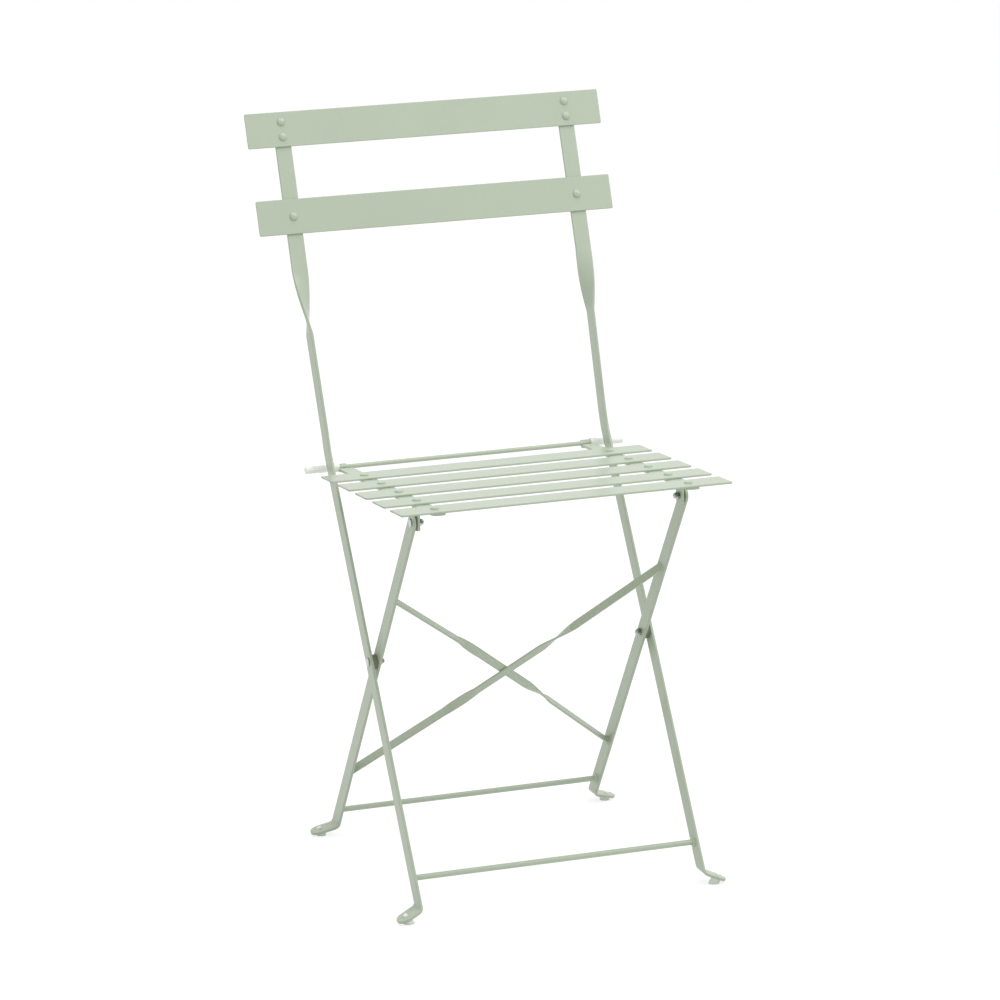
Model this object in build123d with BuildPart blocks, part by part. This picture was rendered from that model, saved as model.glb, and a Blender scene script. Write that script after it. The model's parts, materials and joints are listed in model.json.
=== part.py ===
"""Folding slatted bistro chair: two long bars, two short bars and a seat that folds between them.

X runs to the chair's right, Y to its back and Z up.
The origin is on the floor, under the middle of the chair.
All lengths are in millimetres and all angles in degrees.
"""
import os
from math import cos, radians, sin, sqrt

from build123d import *

# Flat bar and slats
bar_width = 18.0
bar_thickness = 3.0
back_slat_width = 39.0
slat_thickness = 2.0
slat_corner = 1.8

# Long bars: front foot, crossing, bend at the seat, outward run, twist, back
crossing_height = 243.6
long_low_angle = 33.5
long_high_angle = 22.0
crossing_to_bend = 241.4
bend_radius = 80.0
bend_to_outward_run = 20.0
twist_length = 70.0
twist_steps = 6
upright_shift = 4.0

# Back slats: their length sets the chair's width, and they are placed up the back from the bend
back_slat_length = 416.0
bend_to_lower_slat = 242.9
back_slat_gap = 58.5
flat_below_slat = 42.0
back_slat_overhang = 41.0
upper_rivet_spread = 17.0
bar_end_past_rivet = 4.6

# Short bars: seat pivot, crossing, rear foot
bar_to_bar_gap = 5.5
short_angle = 32.0
crossing_to_seat_pivot = 218.4

# Stretchers by their heights, and braces by their distances from the crossing
front_stretcher_height = 41.5
rear_stretcher_height = 32.8
stretcher_radius = 3.1
weld_size = 2.4
brace_width = 10.0
brace_thickness = 2.2
rear_brace_rise = 98.0
front_brace_rise = 106.0
brace_drop = 183.0
brace_bow = 2.5
brace_twist_length = 44.0
brace_upper_flat = 117.0
brace_middle_flat = 89.0
brace_gap = 0.1

# Feet: the bar's end turns out into a sloping tab with a nylon glide
foot_bend_radius = 5.0
front_tab_angle = 26.0
rear_tab_angle = 17.5
tab_clearance = 1.8
glide_from_bend = 14.0
glide_stem_radius = 1.8
glide_head_radius = 2.6
glide_head_height = 2.4
glide_head_round = 1.6
glide_pad_radius = 4.8
glide_pad_angle = 8.0

# Seat, measured from its front pivot: back along the seat and up from the pivot
seat_tilt = 5.0
seat_slat_count = 5
seat_slat_width = 38.0
seat_slat_overhang = 43.3
front_slat_overhang = 59.2
rear_slat_gap = 20.6
rail_width = 16.0
rail_thickness = 2.5
rail_above_bar = 7.1
rail_tip_inset = 1.0
lug_to_bar_gap = 1.8
lug_half_width = 8.5
lug_drop = 8.5
lug_corner = 3.0

# Rod behind the long bars, with the rails' hooks and the nylon sleeves
rod_radius = 2.5
hook_width = 10.0
hook_dip = 2.65
hook_dip_length = 5.0
hook_turn_angle = 128.0
sleeve_wall = 1.5
sleeve_flange_wall = 2.6
sleeve_flange_width = 7.8
sleeve_hook_gap = 0.3
sleeve_bar_gap = 3.3
sleeve_overhang = 22.5
sleeve_end_wall = 3.0
sleeve_end_round = 1.6

# Fasteners
bolt_radius = 2.0
running_gap = 0.08
fixed_gap = 0.05
face_gap = 0.15
crossing_head_radius = 5.0
crossing_head_height = 1.5
seat_head_radius = 4.6
seat_head_height = 1.6
head_round = 0.8
spacer_radius = 8.0
washer_radius = 5.0
nut_sides = 6
nut_corner_radius = 4.1
nut_height = 3.6
nut_dome_radius = 3.3
nut_end_wall = 1.5
bolt_end_gap = 0.8
rivet_shank_radius = 2.4
rivet_head_radius = 4.2
rivet_head_height = 1.3
rivet_head_round = 0.9
rivet_tail_radius = 3.4
rivet_tail_height = 1.0


def lean_up(lean):
    """Unit vector that rises while it leans towards the back by an angle from the vertical."""
    return Vector(0, sin(radians(lean)), cos(radians(lean)))


# Directions of the bars and of the seat
long_low_up = lean_up(long_low_angle)
long_high_up = lean_up(long_high_angle)
short_up = lean_up(-short_angle)
seat_up = lean_up(seat_tilt)
seat_back = Vector(1, 0, 0).cross(-seat_up)
long_low_rear = Vector(1, 0, 0).cross(-long_low_up)
back_front = Vector(1, 0, 0).cross(long_high_up)
legs_front = Vector(1, 0, 0).cross(short_up)

# Faces of the bars and of the pieces on the pivots, on the right-hand side
upright_x = back_slat_length / 2 - back_slat_overhang
long_bar_x = upright_x - upright_shift
long_inner_x = long_bar_x - bar_thickness / 2
long_outer_x = long_bar_x + bar_thickness / 2
short_outer_x = long_inner_x - bar_to_bar_gap
short_bar_x = short_outer_x - bar_thickness / 2
short_inner_x = short_outer_x - bar_thickness
lug_outer_x = short_inner_x - lug_to_bar_gap
lug_inner_x = lug_outer_x - rail_thickness
rail_x = lug_outer_x - rail_width / 2
hook_outer_x = rail_x + hook_width / 2
sleeve_start_x = hook_outer_x + sleeve_hook_gap
sleeve_end_x = long_outer_x + sleeve_overhang

# Radii of the rod's hooks, through the middle of the metal, and of its sleeves, and a cap nut's depth
hook_radius = rod_radius + fixed_gap + rail_thickness / 2
sleeve_radius = rod_radius + sleeve_wall
sleeve_flange_radius = rod_radius + sleeve_flange_wall
nut_bore_depth = nut_height + nut_dome_radius - nut_end_wall

# Levels of the seat above its pivot
rail_bottom_up = bar_width / 2 + rail_above_bar
slat_bottom_up = rail_bottom_up + rail_thickness
seat_top_up = slat_bottom_up + slat_thickness
rail_middle_up = rail_bottom_up + rail_thickness / 2
hook_middle_up = rail_middle_up - hook_dip
rod_up = hook_middle_up + hook_radius


def back_to_long_bar(behind, up):
    """Distance back along the seat to a line behind the long bar's middle, at a level above the pivot."""
    start = short_up * crossing_to_seat_pivot + seat_up * up
    return (behind - start.dot(long_low_rear)) / seat_back.dot(long_low_rear)


# Places along the seat: the slats stand in front of the long bars, the rod behind them
front_slat_edge = -front_slat_overhang
rear_slat_edge = back_to_long_bar(-bar_width / 2 - rear_slat_gap, slat_bottom_up)
seat_slat_pitch = (rear_slat_edge - front_slat_edge - seat_slat_width) / (seat_slat_count - 1)
first_slat_back = front_slat_edge + seat_slat_width / 2
slat_backs = [first_slat_back + seat_slat_pitch * place for place in range(seat_slat_count)]
rod_back = back_to_long_bar(bar_width / 2 + sleeve_bar_gap + sleeve_radius, rod_up)

# Places up the back, from the bend
lower_slat_middle = bend_to_lower_slat + back_slat_width / 2
upper_slat_middle = lower_slat_middle + back_slat_width + back_slat_gap
back_rivets_up = [
    upper_slat_middle + upper_rivet_spread / 2,
    upper_slat_middle - upper_rivet_spread / 2,
    lower_slat_middle,
]
bend_to_top = back_rivets_up[0] + bar_end_past_rivet
bend_to_upright = bend_to_lower_slat - flat_below_slat
bend_to_twist = bend_to_upright - twist_length

# The crossing stands where the chair's front and back edges lie equally far from the origin
front_edge = short_up * crossing_to_seat_pivot + seat_back * front_slat_edge + seat_up * slat_bottom_up
rear_edge = long_low_up * crossing_to_bend + long_high_up * (back_rivets_up[0] + rivet_tail_radius)
rear_edge -= back_front * (bar_thickness / 2 + rivet_tail_height)
crossing = Vector(0, -(front_edge.Y + rear_edge.Y) / 2, crossing_height)
bend = crossing + long_low_up * crossing_to_bend
seat_pivot = crossing + short_up * crossing_to_seat_pivot

# Working planes of the seat and of the back: X across, Y along, Z out of the face
seat_plane = Plane(origin=seat_pivot, x_dir=(1, 0, 0), z_dir=seat_up)
back_plane = Plane(origin=bend, x_dir=(1, 0, 0), z_dir=back_front)
rod_centre = seat_plane.from_local_coords(Vector(0, rod_back, rod_up))

os.makedirs("parts", exist_ok=True)


def finish(builder, label):
    """Names a finished piece and writes it to its own file."""
    builder.part.label = label
    export_step(builder.part, f"parts/{label}.step")


def side_plane(x):
    """Plane that faces right at a distance from the chair's middle: its X is Y and its Y is Z."""
    return Plane.YZ.offset(x)


def side_point(point):
    """A point's place on any side plane."""
    return (point.Y, point.Z)


def bar_section(centre, axis, width_dir, width, thickness):
    """Rectangle across a flat bar."""
    with BuildSketch(Plane(origin=centre, x_dir=width_dir, z_dir=axis)) as section:
        Rectangle(width, thickness)
    return section.sketch.face()


def twist_sections(start, axis, width_dir, length, turn, width, thickness, shift):
    """Sections of a flat bar that turns evenly about its axis, and moves evenly sideways by the shift."""
    sections = []
    spin = Axis(start, axis)
    for step in range(twist_steps + 1):
        way = step / twist_steps
        centre = start + axis * (length * way) + shift * way
        sections.append(bar_section(centre, axis, width_dir.rotate(spin, turn * way), width, thickness))
    return sections


def along_tab(bar_up, slope):
    """Direction that a foot's tab runs in: outwards, and down along the bar by the tab's slope."""
    return Vector(cos(radians(slope)), 0, 0) - bar_up * sin(radians(slope))


def tab_half_cut(bar_up):
    """Half of a bar's level cut, which the bend and the tab carry on."""
    return bar_width / bar_up.Z / 2


def tab_half_width(bar_up, slope):
    """Half of a tab's width, square to its run."""
    return tab_half_cut(bar_up) * sqrt(1 - along_tab(bar_up, slope).Y ** 2)


def bend_start(bar_up, slope):
    """Point in the chair's middle plane where a foot's bend starts, so that its tab clears the floor."""
    run = along_tab(bar_up, slope)
    top = run.cross(Vector(0, 1, 0)).normalized()
    bend_drop = (foot_bend_radius + bar_thickness / 2) * cos(radians(slope)) * bar_up.Z
    edge_drop = tab_half_width(bar_up, slope) * sqrt(1 - top.Z ** 2) + bar_thickness / 2 * top.Z
    height = tab_clearance + edge_drop + bend_drop - glide_from_bend * run.Z
    return crossing + bar_up * ((height - crossing_height) / bar_up.Z)


def tab_plane(bar_up, bar_x, slope, distance=0.0):
    """Plane in the middle of a tab, at a distance from the bend: X runs out along it, Z out of its top."""
    middle_radius = foot_bend_radius + bar_thickness / 2
    out = Vector(bar_x + middle_radius * (1 - sin(radians(slope))), 0, 0)
    run = along_tab(bar_up, slope)
    bend_end = bend_start(bar_up, slope) + out - bar_up * (middle_radius * cos(radians(slope)))
    return Plane(origin=bend_end + run * distance, x_dir=run, z_dir=run.cross(Vector(0, 1, 0)))


def add_foot(bar_up, bar_x, slope):
    """Cuts a bar level and adds the bend and the sloping tab, with its round end and its hole."""
    start = bend_start(bar_up, slope)
    half_cut = tab_half_cut(bar_up)
    split(bisect_by=Plane.XY.offset(start.Z), keep=Keep.TOP)
    side = Plane(origin=start, x_dir=(1, 0, 0), z_dir=Vector(1, 0, 0).cross(bar_up))
    with BuildSketch(side) as bend_profile:
        with BuildLine() as path:
            JernArc((bar_x, 0), (0, -1), foot_bend_radius + bar_thickness / 2, 90 - slope)
        trace(path.line, line_width=bar_thickness)
    extrude(bend_profile.sketch, amount=half_cut, dir=(0, 1, 0), both=True)
    middle = tab_plane(bar_up, bar_x, slope)
    across = middle.to_local_coords(middle.origin + Vector(0, half_cut, 0))
    run = Vector(glide_from_bend, 0, 0)
    with BuildSketch(middle) as tab:
        Polygon(across, -across, run - across, run + across, align=None)
        with Locations(run):
            Circle(tab_half_width(bar_up, slope))
            Circle(glide_stem_radius + fixed_gap, mode=Mode.SUBTRACT)
    extrude(tab.sketch, amount=bar_thickness / 2, both=True)


def add_glide(bar_up, bar_x, slope):
    """Adds a nylon glide: head on the tab, stem through it and pad beneath, cut flat at the floor."""
    middle = tab_plane(bar_up, bar_x, slope, glide_from_bend)
    with BuildSketch(middle.offset(bar_thickness / 2)) as head:
        Circle(glide_head_radius)
    extrude(head.sketch, amount=glide_head_height)
    fillet(edges().sort_by(Axis(middle.origin, middle.z_dir))[-1], radius=glide_head_round)
    with BuildSketch(middle.offset(bar_thickness / 2)) as stem:
        Circle(glide_stem_radius)
    extrude(stem.sketch, amount=-bar_thickness)
    with BuildSketch(middle.offset(-bar_thickness / 2)) as pad:
        Circle(glide_pad_radius)
    past_floor = (middle.origin.Z + glide_pad_radius) / middle.z_dir.Z
    extrude(pad.sketch, amount=-past_floor, taper=-glide_pad_angle)
    split(bisect_by=Plane.XY, keep=Keep.TOP)


def add_disc(x_from, x_to, centre, radius):
    """Adds a disc across the chair to the piece that is being built."""
    with BuildSketch(side_plane(x_from)) as disc:
        with Locations(side_point(centre)):
            Circle(radius)
    extrude(disc.sketch, amount=x_to - x_from)


def cut_bore(x_from, x_to, centre, radius):
    """Cuts a round bore across the chair out of the piece that is being built."""
    with BuildSketch(side_plane(x_from)) as bore:
        with Locations(side_point(centre)):
            Circle(radius)
    extrude(bore.sketch, amount=x_to - x_from, mode=Mode.SUBTRACT)


def add_bolt(centre, head_x, head_radius, head_height, end_x):
    """Adds a bolt with a low round head on its outer end."""
    add_disc(head_x, head_x + head_height, centre, head_radius)
    fillet(edges().sort_by(Axis.X)[-1], radius=head_round)
    add_disc(head_x, end_x, centre, bolt_radius)


def add_cap_nut(centre, face_x):
    """Adds a hexagon nut with a domed end, open towards the bolt."""
    with BuildSketch(side_plane(face_x)) as base:
        with Locations(side_point(centre)):
            RegularPolygon(nut_corner_radius, nut_sides)
    extrude(base.sketch, amount=-nut_height)
    with Locations((face_x - nut_height, centre.Y, centre.Z)):
        Sphere(nut_dome_radius)
    cut_bore(face_x, face_x - nut_bore_depth, centre, bolt_radius + fixed_gap)


def add_rivet(face, depth):
    """Adds a rivet: low round head on a face, shank through a depth and tail behind it."""
    with BuildSketch(face) as head:
        Circle(rivet_head_radius)
    extrude(head.sketch, amount=rivet_head_height)
    outer = edges().sort_by(Axis(face.origin, face.z_dir))[-1]
    fillet(outer, radius=rivet_head_round)
    with BuildSketch(face) as shank:
        Circle(rivet_shank_radius)
    extrude(shank.sketch, amount=-depth)
    with BuildSketch(face.offset(-depth)) as tail:
        Circle(rivet_tail_radius)
    extrude(tail.sketch, amount=-rivet_tail_height)


def placed_on(plane, x, y, height):
    """The plane, moved to a point on it and up to a height."""
    moved = plane.offset(height)
    return Plane(origin=moved.from_local_coords(Vector(x, y, 0)), x_dir=plane.x_dir, z_dir=plane.z_dir)


# Long bars: above the bend they run straight outwards, through the twist, to the flat part of the back
outward_start = bend + long_high_up * bend_to_outward_run + Vector(long_bar_x, 0, 0)
upright_start = bend + long_high_up * bend_to_upright + Vector(upright_x, 0, 0)
outward_rise = (upright_start - outward_start) / (bend_to_upright - bend_to_outward_run)
outward_run = outward_rise * (bend_to_twist - bend_to_outward_run)
twist_shift = Vector(outward_rise.X * twist_length, 0, 0)

with BuildPart() as right_long_bar:
    with BuildSketch(side_plane(long_bar_x)):
        with BuildLine():
            FilletPolyline(
                side_point(crossing - long_low_up * (crossing_height / long_low_up.Z)),
                side_point(bend),
                side_point(outward_start),
                radius=bend_radius,
            )
        trace(line_width=bar_width)
        with Locations(side_point(crossing)):
            Circle(bolt_radius + fixed_gap, mode=Mode.SUBTRACT)
    extrude(amount=bar_thickness / 2, both=True)
    add_foot(long_low_up, long_bar_x, front_tab_angle)
    outward_section = bar_section(outward_start, long_high_up, -back_front, bar_width, bar_thickness)
    extrude(outward_section, amount=outward_run.length, dir=outward_run.normalized())
    loft(twist_sections(outward_start + outward_run, long_high_up, -back_front, twist_length, 90,
                        bar_width, bar_thickness, twist_shift))
    with BuildSketch(Plane(origin=upright_start, x_dir=(1, 0, 0), z_dir=long_high_up)):
        Rectangle(bar_width, bar_thickness)
    extrude(amount=bend_to_top - bend_to_upright)
    with BuildSketch(back_plane):
        with Locations([(upright_x, up) for up in back_rivets_up]):
            Circle(rivet_shank_radius + fixed_gap)
    extrude(amount=bar_thickness, both=True, mode=Mode.SUBTRACT)
finish(right_long_bar, "right_long_bar")

with BuildPart() as left_long_bar:
    mirror(right_long_bar.part, about=Plane.YZ)
finish(left_long_bar, "left_long_bar")

# Back slats and their rivets
back_slat_middles = {"upper_back_slat": upper_slat_middle, "lower_back_slat": lower_slat_middle}
for slat_name, slat_middle in back_slat_middles.items():
    with BuildPart() as back_slat:
        with BuildSketch(back_plane.offset(bar_thickness / 2)):
            with Locations((0, slat_middle)):
                RectangleRounded(back_slat_length, back_slat_width, slat_corner)
            near_middle = [up for up in back_rivets_up if abs(up - slat_middle) < back_slat_width / 2]
            with Locations([(side * upright_x, up) for side in (-1, 1) for up in near_middle]):
                Circle(rivet_shank_radius + fixed_gap, mode=Mode.SUBTRACT)
        extrude(amount=slat_thickness)
    finish(back_slat, slat_name)

with BuildPart() as back_rivets:
    for rivet_up in back_rivets_up:
        rivet_face = placed_on(back_plane, upright_x, rivet_up, bar_thickness / 2 + slat_thickness)
        with BuildPart(mode=Mode.PRIVATE) as one_rivet:
            add_rivet(rivet_face, bar_thickness + slat_thickness)
        add(one_rivet.part)
    mirror(about=Plane.YZ)
finish(back_rivets, "back_rivets")


def add_stretcher(bar_up, height, half_length):
    """Adds a round rod between two bars at a height, with a weld that flares at each end."""
    centre = crossing + bar_up * ((height - crossing_height) / bar_up.Z)
    plane = Plane(origin=centre, x_dir=(1, 0, 0), z_dir=(0, -1, 0))
    with BuildSketch(plane) as profile:
        with BuildLine():
            start = Line((0, 0), (0, stretcher_radius))
            rod_line = Line(start @ 1, (half_length - weld_size, stretcher_radius))
            weld = RadiusArc(rod_line @ 1, (half_length, stretcher_radius + weld_size), weld_size)
            end = Line(weld @ 1, (half_length, 0))
            Line(end @ 1, (0, 0))
        make_face()
    revolve(profile.sketch, axis=Axis(centre, (1, 0, 0)))
    mirror(about=Plane.YZ)


with BuildPart() as front_stretcher:
    add_stretcher(long_low_up, front_stretcher_height, long_inner_x)
finish(front_stretcher, "front_stretcher")

with BuildPart() as right_front_glide:
    add_glide(long_low_up, long_bar_x, front_tab_angle)
finish(right_front_glide, "right_front_glide")

with BuildPart() as left_front_glide:
    mirror(right_front_glide.part, about=Plane.YZ)
finish(left_front_glide, "left_front_glide")

# Crossing pivots: head outside the long bar, spacer between the bars, cap nut inside the short bar
crossing_nut_x = short_inner_x - face_gap
crossing_bolt_end = crossing_nut_x - nut_bore_depth + bolt_end_gap
with BuildPart() as crossing_bolts:
    add_bolt(crossing, long_outer_x, crossing_head_radius, crossing_head_height, crossing_bolt_end)
    mirror(about=Plane.YZ)
finish(crossing_bolts, "crossing_bolts")

with BuildPart() as crossing_spacers:
    add_disc(short_outer_x + face_gap, long_inner_x, crossing, spacer_radius)
    cut_bore(short_outer_x, long_inner_x, crossing, bolt_radius + fixed_gap)
    mirror(about=Plane.YZ)
finish(crossing_spacers, "crossing_spacers")

with BuildPart() as crossing_cap_nuts:
    add_cap_nut(crossing, crossing_nut_x)
    mirror(about=Plane.YZ)
finish(crossing_cap_nuts, "crossing_cap_nuts")

# Short bars
with BuildPart() as right_short_bar:
    with BuildSketch(side_plane(short_bar_x)):
        with BuildLine():
            Line(side_point(seat_pivot), side_point(crossing - short_up * (crossing_height / short_up.Z)))
        trace(line_width=bar_width)
        with Locations(side_point(seat_pivot)):
            Circle(bar_width / 2)
            Circle(bolt_radius + fixed_gap, mode=Mode.SUBTRACT)
        with Locations(side_point(crossing)):
            Circle(bolt_radius + running_gap, mode=Mode.SUBTRACT)
    extrude(amount=bar_thickness / 2, both=True)
    add_foot(short_up, short_bar_x, rear_tab_angle)
finish(right_short_bar, "right_short_bar")

with BuildPart() as left_short_bar:
    mirror(right_short_bar.part, about=Plane.YZ)
finish(left_short_bar, "left_short_bar")

with BuildPart() as rear_stretcher:
    add_stretcher(short_up, rear_stretcher_height, short_inner_x)
finish(rear_stretcher, "rear_stretcher")

with BuildPart() as right_rear_glide:
    add_glide(short_up, short_bar_x, rear_tab_angle)
finish(right_rear_glide, "right_rear_glide")

with BuildPart() as left_rear_glide:
    mirror(right_rear_glide.part, about=Plane.YZ)
finish(left_rear_glide, "left_rear_glide")

# Braces: flat bars that cross between the short bars, each with two quarter twists
first_twist_middle = brace_upper_flat + brace_twist_length / 2
second_twist_middle = first_twist_middle + brace_middle_flat + brace_twist_length


def add_brace(upper_side, rise, facing):
    """Adds a brace from high on one short bar to low on the other, cut off at their inner faces.

    Its ends stand square to the plane of the legs and its middle lies flat in it. It kinks at the twists,
    so that its middle clears the other brace on the side that it faces: 1 to the front, -1 to the rear.
    """
    upper = crossing + short_up * rise + Vector(upper_side * short_inner_x, 0, 0)
    lower = crossing - short_up * brace_drop - Vector(upper_side * short_inner_x, 0, 0)
    axis = (lower - upper).normalized()
    length = (lower - upper).length
    kink = legs_front * (facing * (brace_thickness + brace_gap) / 2)
    kink += axis.cross(legs_front) * (-facing * upper_side * brace_bow)
    stops = (
        -brace_width,
        brace_upper_flat,
        brace_upper_flat + brace_twist_length,
        second_twist_middle - brace_twist_length / 2,
        second_twist_middle + brace_twist_length / 2,
        length + brace_width,
    )
    places = []
    for stop in stops:
        share = min(1, stop / first_twist_middle, (length - stop) / (length - second_twist_middle))
        places.append(upper + axis * stop + kink * share)
    for step in range(len(stops) - 1):
        way = places[step + 1] - places[step]
        across = legs_front.rotate(Axis(upper, axis), 90 * (step // 2))
        if step % 2 == 0:
            section = bar_section(places[step], axis, across, brace_width, brace_thickness)
            extrude(section, amount=way.length, dir=way.normalized())
        else:
            advance = stops[step + 1] - stops[step]
            loft(twist_sections(places[step], axis, across, advance, 90, brace_width, brace_thickness,
                                way - axis * advance))
    with Locations(crossing):
        Box(2 * short_inner_x, 2 * crossing_height, 2 * crossing_height, mode=Mode.INTERSECT)


with BuildPart() as rear_brace:
    add_brace(upper_side=-1, rise=rear_brace_rise, facing=-1)
finish(rear_brace, "rear_brace")

with BuildPart() as front_brace:
    add_brace(upper_side=1, rise=front_brace_rise, facing=1)
finish(front_brace, "front_brace")

# Seat pivots: head outside the short bar, washer against the lug, cap nut inside the lug
seat_nut_x = lug_inner_x - face_gap
seat_bolt_end = seat_nut_x - nut_bore_depth + bolt_end_gap
with BuildPart() as seat_bolts:
    add_bolt(seat_pivot, short_outer_x, seat_head_radius, seat_head_height, seat_bolt_end)
    mirror(about=Plane.YZ)
finish(seat_bolts, "seat_bolts")

with BuildPart() as seat_washers:
    add_disc(lug_outer_x + face_gap, short_inner_x, seat_pivot, washer_radius)
    cut_bore(lug_outer_x, short_inner_x, seat_pivot, bolt_radius + fixed_gap)
    mirror(about=Plane.YZ)
finish(seat_washers, "seat_washers")

with BuildPart() as seat_cap_nuts:
    add_cap_nut(seat_pivot, seat_nut_x)
    mirror(about=Plane.YZ)
finish(seat_cap_nuts, "seat_cap_nuts")

# Seat slats and their rivets
for place, slat_back in enumerate(slat_backs):
    with BuildPart() as seat_slat:
        with BuildSketch(seat_plane.offset(slat_bottom_up)):
            with Locations((0, slat_back)):
                RectangleRounded(2 * (rail_x + seat_slat_overhang), seat_slat_width, slat_corner)
            with Locations((-rail_x, slat_back), (rail_x, slat_back)):
                Circle(rivet_shank_radius + fixed_gap, mode=Mode.SUBTRACT)
        extrude(amount=slat_thickness)
    finish(seat_slat, f"seat_slat_{place + 1}")

with BuildPart() as seat_rivets:
    for slat_back in slat_backs:
        rivet_face = placed_on(seat_plane, rail_x, slat_back, seat_top_up)
        with BuildPart(mode=Mode.PRIVATE) as one_rivet:
            add_rivet(rivet_face, slat_thickness + rail_thickness)
        add(one_rivet.part)
    mirror(about=Plane.YZ)
finish(seat_rivets, "seat_rivets")

# Rails: flat under the slats, with a pivot lug at the front and a hook round the rod at the rear
flange_front = front_slat_edge + rail_tip_inset + rail_width / 2
flange_rear = rod_back - hook_radius - hook_dip_length
lug_plane = Plane(origin=seat_pivot + Vector(lug_inner_x, 0, 0), x_dir=seat_back, z_dir=(1, 0, 0))
hook_plane = Plane(origin=seat_pivot + Vector(hook_outer_x, 0, 0), x_dir=seat_back, z_dir=(1, 0, 0))

with BuildPart() as right_rail:
    with BuildSketch(seat_plane.offset(rail_bottom_up)):
        with Locations((rail_x, (flange_front + flange_rear) / 2)):
            Rectangle(rail_width, flange_rear - flange_front)
        with Locations((rail_x, flange_front)):
            Circle(rail_width / 2)
        with Locations([(rail_x, slat_back) for slat_back in slat_backs]):
            Circle(rivet_shank_radius + fixed_gap, mode=Mode.SUBTRACT)
    extrude(amount=rail_thickness)
    with BuildSketch(lug_plane) as lug:
        with Locations((0, (rail_bottom_up - lug_drop) / 2)):
            Rectangle(2 * lug_half_width, rail_bottom_up + lug_drop)
        fillet(lug.vertices().group_by(Axis.Y)[0], radius=lug_corner)
    extrude(amount=rail_thickness)
    with BuildSketch(hook_plane) as hook:
        with BuildLine() as hook_line:
            run = Polyline(
                (flange_rear - hook_width, rail_middle_up),
                (flange_rear, rail_middle_up),
                (flange_rear + hook_dip_length, hook_middle_up),
                (rod_back, hook_middle_up),
            )
            JernArc(run @ 1, (1, 0), hook_radius, hook_turn_angle)
        trace(hook_line.line, line_width=rail_thickness)
    extrude(hook.sketch, amount=-hook_width)
    cut_bore(lug_inner_x, lug_outer_x, seat_pivot, bolt_radius + running_gap)
finish(right_rail, "right_rail")

with BuildPart() as left_rail:
    mirror(right_rail.part, about=Plane.YZ)
finish(left_rail, "left_rail")

# Rear rod and its nylon sleeves
rod_end_x = sleeve_end_x - sleeve_end_wall - fixed_gap
with BuildPart() as rear_rod:
    add_disc(-rod_end_x, rod_end_x, rod_centre, rod_radius)
finish(rear_rod, "rear_rod")

with BuildPart() as right_sleeve:
    add_disc(sleeve_start_x, sleeve_end_x, rod_centre, sleeve_radius)
    fillet(edges().sort_by(Axis.X)[-1], radius=sleeve_end_round)
    add_disc(sleeve_start_x, sleeve_start_x + sleeve_flange_width, rod_centre, sleeve_flange_radius)
    cut_bore(sleeve_start_x, sleeve_end_x - sleeve_end_wall, rod_centre, rod_radius + fixed_gap)
finish(right_sleeve, "right_sleeve")

with BuildPart() as left_sleeve:
    mirror(right_sleeve.part, about=Plane.YZ)
finish(left_sleeve, "left_sleeve")
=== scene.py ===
"""Looks of a folding slatted chair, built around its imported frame.

The file is laid out as an add-on and is run as a script. Lengths are in metres. X runs to the chair's
right, Y to its back and Z up. Every new piece is worked out as whole arrays: a section carried along a
path, or a profile turned about an axis.
"""

import json
from math import cos, pi, radians, sin, sqrt, tan

import bpy
import numpy as np
from bpy.props import FloatProperty, FloatVectorProperty, PointerProperty, StringProperty
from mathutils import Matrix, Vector


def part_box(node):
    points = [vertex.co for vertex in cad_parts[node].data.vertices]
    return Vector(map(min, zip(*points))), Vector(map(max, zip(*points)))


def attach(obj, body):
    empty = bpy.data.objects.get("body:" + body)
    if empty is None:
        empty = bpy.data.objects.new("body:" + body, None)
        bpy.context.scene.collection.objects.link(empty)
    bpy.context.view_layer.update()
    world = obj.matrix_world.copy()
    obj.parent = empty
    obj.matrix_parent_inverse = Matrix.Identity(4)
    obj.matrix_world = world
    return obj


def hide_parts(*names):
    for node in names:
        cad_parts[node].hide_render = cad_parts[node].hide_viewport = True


bl_info = {
    "name": "Folding slatted chair",
    "version": (1, 0, 0),
    "blender": (4, 5, 0),
    "location": "3D View > Sidebar > Chair",
    "description": "Builds the coated bars, slats, rivets and welds of a folding chair, and its studio",
    "category": "Add Mesh",
}

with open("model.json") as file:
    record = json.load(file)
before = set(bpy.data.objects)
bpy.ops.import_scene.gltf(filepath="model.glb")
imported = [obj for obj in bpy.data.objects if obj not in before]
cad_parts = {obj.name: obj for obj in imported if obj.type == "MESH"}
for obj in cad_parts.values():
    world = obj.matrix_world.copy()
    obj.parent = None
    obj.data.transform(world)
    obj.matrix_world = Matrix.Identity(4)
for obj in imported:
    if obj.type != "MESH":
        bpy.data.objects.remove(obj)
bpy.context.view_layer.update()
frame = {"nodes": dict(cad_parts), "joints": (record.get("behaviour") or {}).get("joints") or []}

MM = 0.001
ACROSS = np.array([1.0, 0.0, 0.0])
BACK = np.array([0.0, 1.0, 0.0])
SIDES = {"right": 1, "left": -1}

# How finely the shapes are cut
EDGE_STEPS = 4
ROUND_STEPS = 14
BEND_STEPS = 10
TWIST_STEPS = 28
TAB_STEPS = 5
SQUARING_STEPS = 4
BRACE_FLAT_STEPS = 6
STRAIGHT_STEP = 0.03
LATHE_STEPS = 40
HEAD_STEPS = 12
LOOP_STEPS = 96
BEAD_STEPS = 14
SHARP_ANGLE = radians(38)

# How far round a bar's round end the sections go: just short of its tip, which a fan closes
TIP_ANGLE = radians(87)

# Shares of an edge's radius: how much of a thin section it may take, and the flat step beside it
EDGE_SHARE = 0.9
STEP_SHARE = 0.5

# Painted shade on the narrow sides of the bars: how dark they are drawn, where one is as dark as a
# thin-coated edge
NARROW_SIDE_SHADE = 0.35

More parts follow.
